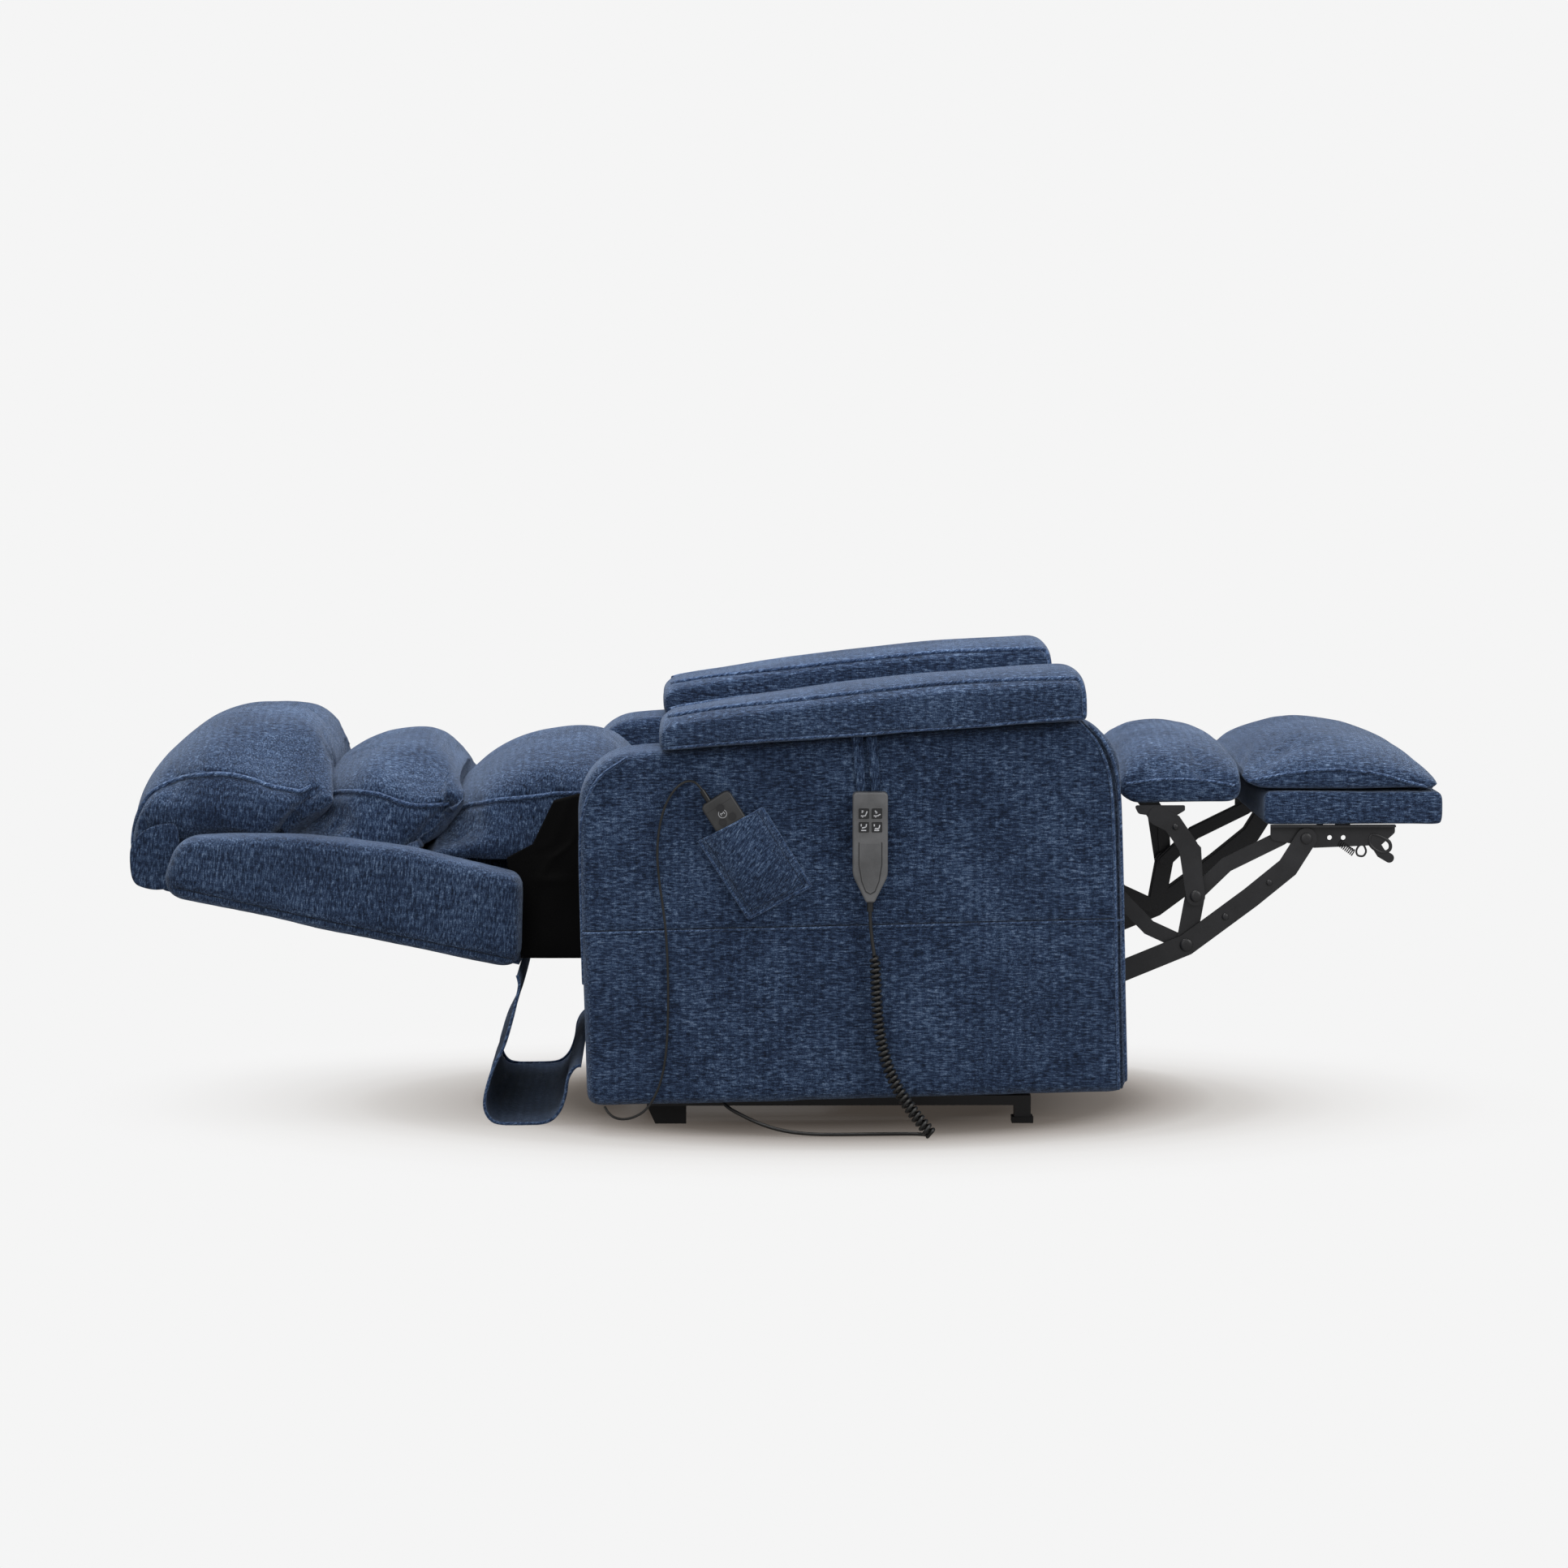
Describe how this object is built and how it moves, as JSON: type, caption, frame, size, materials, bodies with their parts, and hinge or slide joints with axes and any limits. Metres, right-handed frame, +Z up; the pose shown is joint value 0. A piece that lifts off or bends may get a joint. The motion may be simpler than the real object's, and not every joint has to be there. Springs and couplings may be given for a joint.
{
  "type": "lift recliner chair",
  "caption": "Powered lift recliner chair laid flat with its legrest out, padded arm sides, cascade back cushions, steel lift linkage, corded handset and a second control in a side pocket.",
  "frame": {"origin": "on the floor under the middle of the chair's outline, laid flat with the legrest out", "axes": "+X to the sitter's feet, along the chair's length; +Y to the sitter's left; +Z up"},
  "size_m": [1.9185, 0.9616, 0.6717],
  "materials": {
    "upholstery": "marled chenille, deep navy with lighter blue flecks",
    "dark_cloth": "black dust cloth",
    "strap_cloth": "navy webbing strap",
    "webbing": "woven elastic webbing",
    "black_steel": "satin black powder coat",
    "rod_steel": "ground steel",
    "housing_plastic": "fine grained black",
    "handset_plastic": "satin dark grey",
    "button_rubber": "moulded keys with light pictograms",
    "cord_sheath": "smooth black sheath",
    "foot_rubber": "moulded rubber",
    "board_wood": "rough sawn"
  },
  "bodies": {
    "base": {"base_frame": "black_steel", "front_feet": "foot_rubber", "rear_feet": "foot_rubber"},
    "lift_front": {"front_lift_link": "black_steel"},
    "lift_rear": {"rear_lift_link": "black_steel"},
    "lift_motor": {"lift_actuator_motor": "housing_plastic"},
    "lift_rod": {"lift_actuator_rod": "rod_steel"},
    "chair": {"lift_frame": "black_steel", "seat_frame": "black_steel", "seat_box": "board_wood", "seat_webbing": "webbing", "seat_cushion": "upholstery", "arm_side_left": "upholstery", "arm_side_right": "upholstery", "armrest_left": "upholstery", "armrest_right": "upholstery", "control_box": "housing_plastic", "power_supply": "housing_plastic", "pocket": "upholstery", "control_case": "handset_plastic", "control_keys": "button_rubber", "control_relief": "cord_sheath", "control_lead": "cord_sheath", "handset_back_shell": "handset_plastic", "handset_face_shell": "handset_plastic", "handset_relief": "cord_sheath", "handset_strap": "strap_cloth", "handset_lead": "cord_sheath", "curly_cord": "cord_sheath", "floor_lead": "cord_sheath", "back_skirt": "upholstery", "arm_glides": "foot_rubber"},
    "back": {"back_frame": "black_steel", "head_cushion": "upholstery", "middle_cushion": "upholstery", "lumbar_cushion": "upholstery", "wing_left": "upholstery", "wing_right": "upholstery", "back_cover": "upholstery", "dust_cloth": "dark_cloth"},
    "back_motor": {"back_actuator_motor": "housing_plastic"},
    "back_rod": {"back_actuator_rod": "rod_steel"},
    "front_leg": {"front_leg_link": "black_steel"},
    "outer_leg": {"outer_leg_link": "black_steel"},
    "inner_leg": {"inner_leg_link": "black_steel"},
    "foot": {"foot_bracket": "black_steel", "foot_board": "upholstery", "outer_pad": "upholstery"},
    "rear_leg": {"rear_leg_link": "black_steel"},
    "middle": {"middle_pad": "upholstery", "middle_bracket": "black_steel"},
    "button_back_up": {"button_back_up": "button_rubber"},
    "button_back_down": {"button_back_down": "button_rubber"},
    "button_lift_up": {"button_lift_up": "button_rubber"},
    "button_lift_down": {"button_lift_down": "button_rubber"}
  },
  "joints": [
    {"name": "lift", "type": "hinge", "parent": "base", "child": "lift_front", "pos_m": [0.36, 0, 0.065], "axis": [0, 1, 0], "range_deg": [0, 75]},
    {"name": "chair_tip", "type": "hinge", "parent": "lift_front", "child": "chair", "pos_m": [0.13, 0, 0.1], "axis": [0, 1, 0], "range_deg": [-50.01, 0]},
    {"name": "rear_lift_turn", "type": "hinge", "parent": "base", "child": "lift_rear", "pos_m": [0.2, 0, 0.065], "axis": [0, 1, 0], "range_deg": [0, 58.51]},
    {"name": "lift_motor_swing", "type": "hinge", "parent": "base", "child": "lift_motor", "pos_m": [-0.158, 0, 0.05], "axis": [0, 1, 0], "range_deg": [0, 3.01]},
    {"name": "lift_rod_slide", "type": "slide", "parent": "lift_motor", "child": "lift_rod", "axis": [0.9756, 0, 0.2197], "range_m": [0, 0.06054]},
    {"name": "recline", "type": "hinge", "parent": "chair", "child": "back", "pos_m": [-0.3, 0, 0.34], "axis": [0, 1, 0], "range_deg": [0, 70], "deforming": ["back_skirt", "dust_cloth"]},
    {"name": "back_motor_swing", "type": "hinge", "parent": "chair", "child": "back_motor", "pos_m": [0.15, 0.07, 0.232], "axis": [0, 1, 0], "range_deg": [0, 1.88]},
    {"name": "back_rod_slide", "type": "slide", "parent": "back_motor", "child": "back_rod", "axis": [-0.997, 0, 0.0774], "range_m": [0, 0.09054]},
    {"name": "legrest", "type": "hinge", "parent": "chair", "child": "front_leg", "pos_m": [0.442, 0, 0.369], "axis": [0, 1, 0], "range_deg": [0, 137.8]},
    {"name": "outer_leg_turn", "type": "hinge", "parent": "front_leg", "child": "outer_leg", "pos_m": [0.5832, 0, 0.2545], "axis": [0, 1, 0], "range_deg": [-57.09, 0]},
    {"name": "inner_leg_turn", "type": "hinge", "parent": "front_leg", "child": "inner_leg", "pos_m": [0.5963, 0, 0.3266], "axis": [0, 1, 0], "range_deg": [-84.9, 0]},
    {"name": "foot_turn", "type": "hinge", "parent": "outer_leg", "child": "foot", "pos_m": [0.7577, 0, 0.4105], "axis": [0, 1, 0], "range_deg": [0, 9.29]},
    {"name": "rear_leg_turn", "type": "hinge", "parent": "chair", "child": "rear_leg", "pos_m": [0.39, 0, 0.4], "axis": [0, 1, 0], "range_deg": [0, 130]},
    {"name": "middle_turn", "type": "hinge", "parent": "chair", "child": "middle", "pos_m": [0.4875, 0, 0.4875], "axis": [0, 1, 0], "range_deg": [0, 90.01]},
    {"name": "press_back_up", "type": "slide", "parent": "chair", "child": "button_back_up", "axis": [0, 1, 0], "range_m": [0, 0.0015], "stiffness_N_per_m": 400, "springref_m": -0.001},
    {"name": "press_back_down", "type": "slide", "parent": "chair", "child": "button_back_down", "axis": [0, 1, 0], "range_m": [0, 0.0015], "stiffness_N_per_m": 400, "springref_m": -0.001},
    {"name": "press_lift_up", "type": "slide", "parent": "chair", "child": "button_lift_up", "axis": [0, 1, 0], "range_m": [0, 0.0015], "stiffness_N_per_m": 400, "springref_m": -0.001},
    {"name": "press_lift_down", "type": "slide", "parent": "chair", "child": "button_lift_down", "axis": [0, 1, 0], "range_m": [0, 0.0015], "stiffness_N_per_m": 400, "springref_m": -0.001}
  ],
  "couplings": [
    {"joint": "chair_tip", "follows": "lift", "ratio": -0.66667},
    {"joint": "rear_lift_turn", "follows": "lift", "ratio": 0.78},
    {"joint": "lift_motor_swing", "follows": "lift", "ratio": 0.039977},
    {"joint": "lift_rod_slide", "follows": "lift", "m_per_rad": 0.046212},
    {"joint": "back_motor_swing", "follows": "recline", "ratio": 0.026763},
    {"joint": "back_rod_slide", "follows": "recline", "m_per_rad": 0.074069},
    {"joint": "outer_leg_turn", "follows": "legrest", "ratio": -0.4142},
    {"joint": "inner_leg_turn", "follows": "legrest", "ratio": -0.61604},
    {"joint": "foot_turn", "follows": "legrest", "ratio": 0.067317},
    {"joint": "rear_leg_turn", "follows": "legrest", "ratio": 0.94334},
    {"joint": "middle_turn", "follows": "legrest", "ratio": 0.65312}
  ]
}
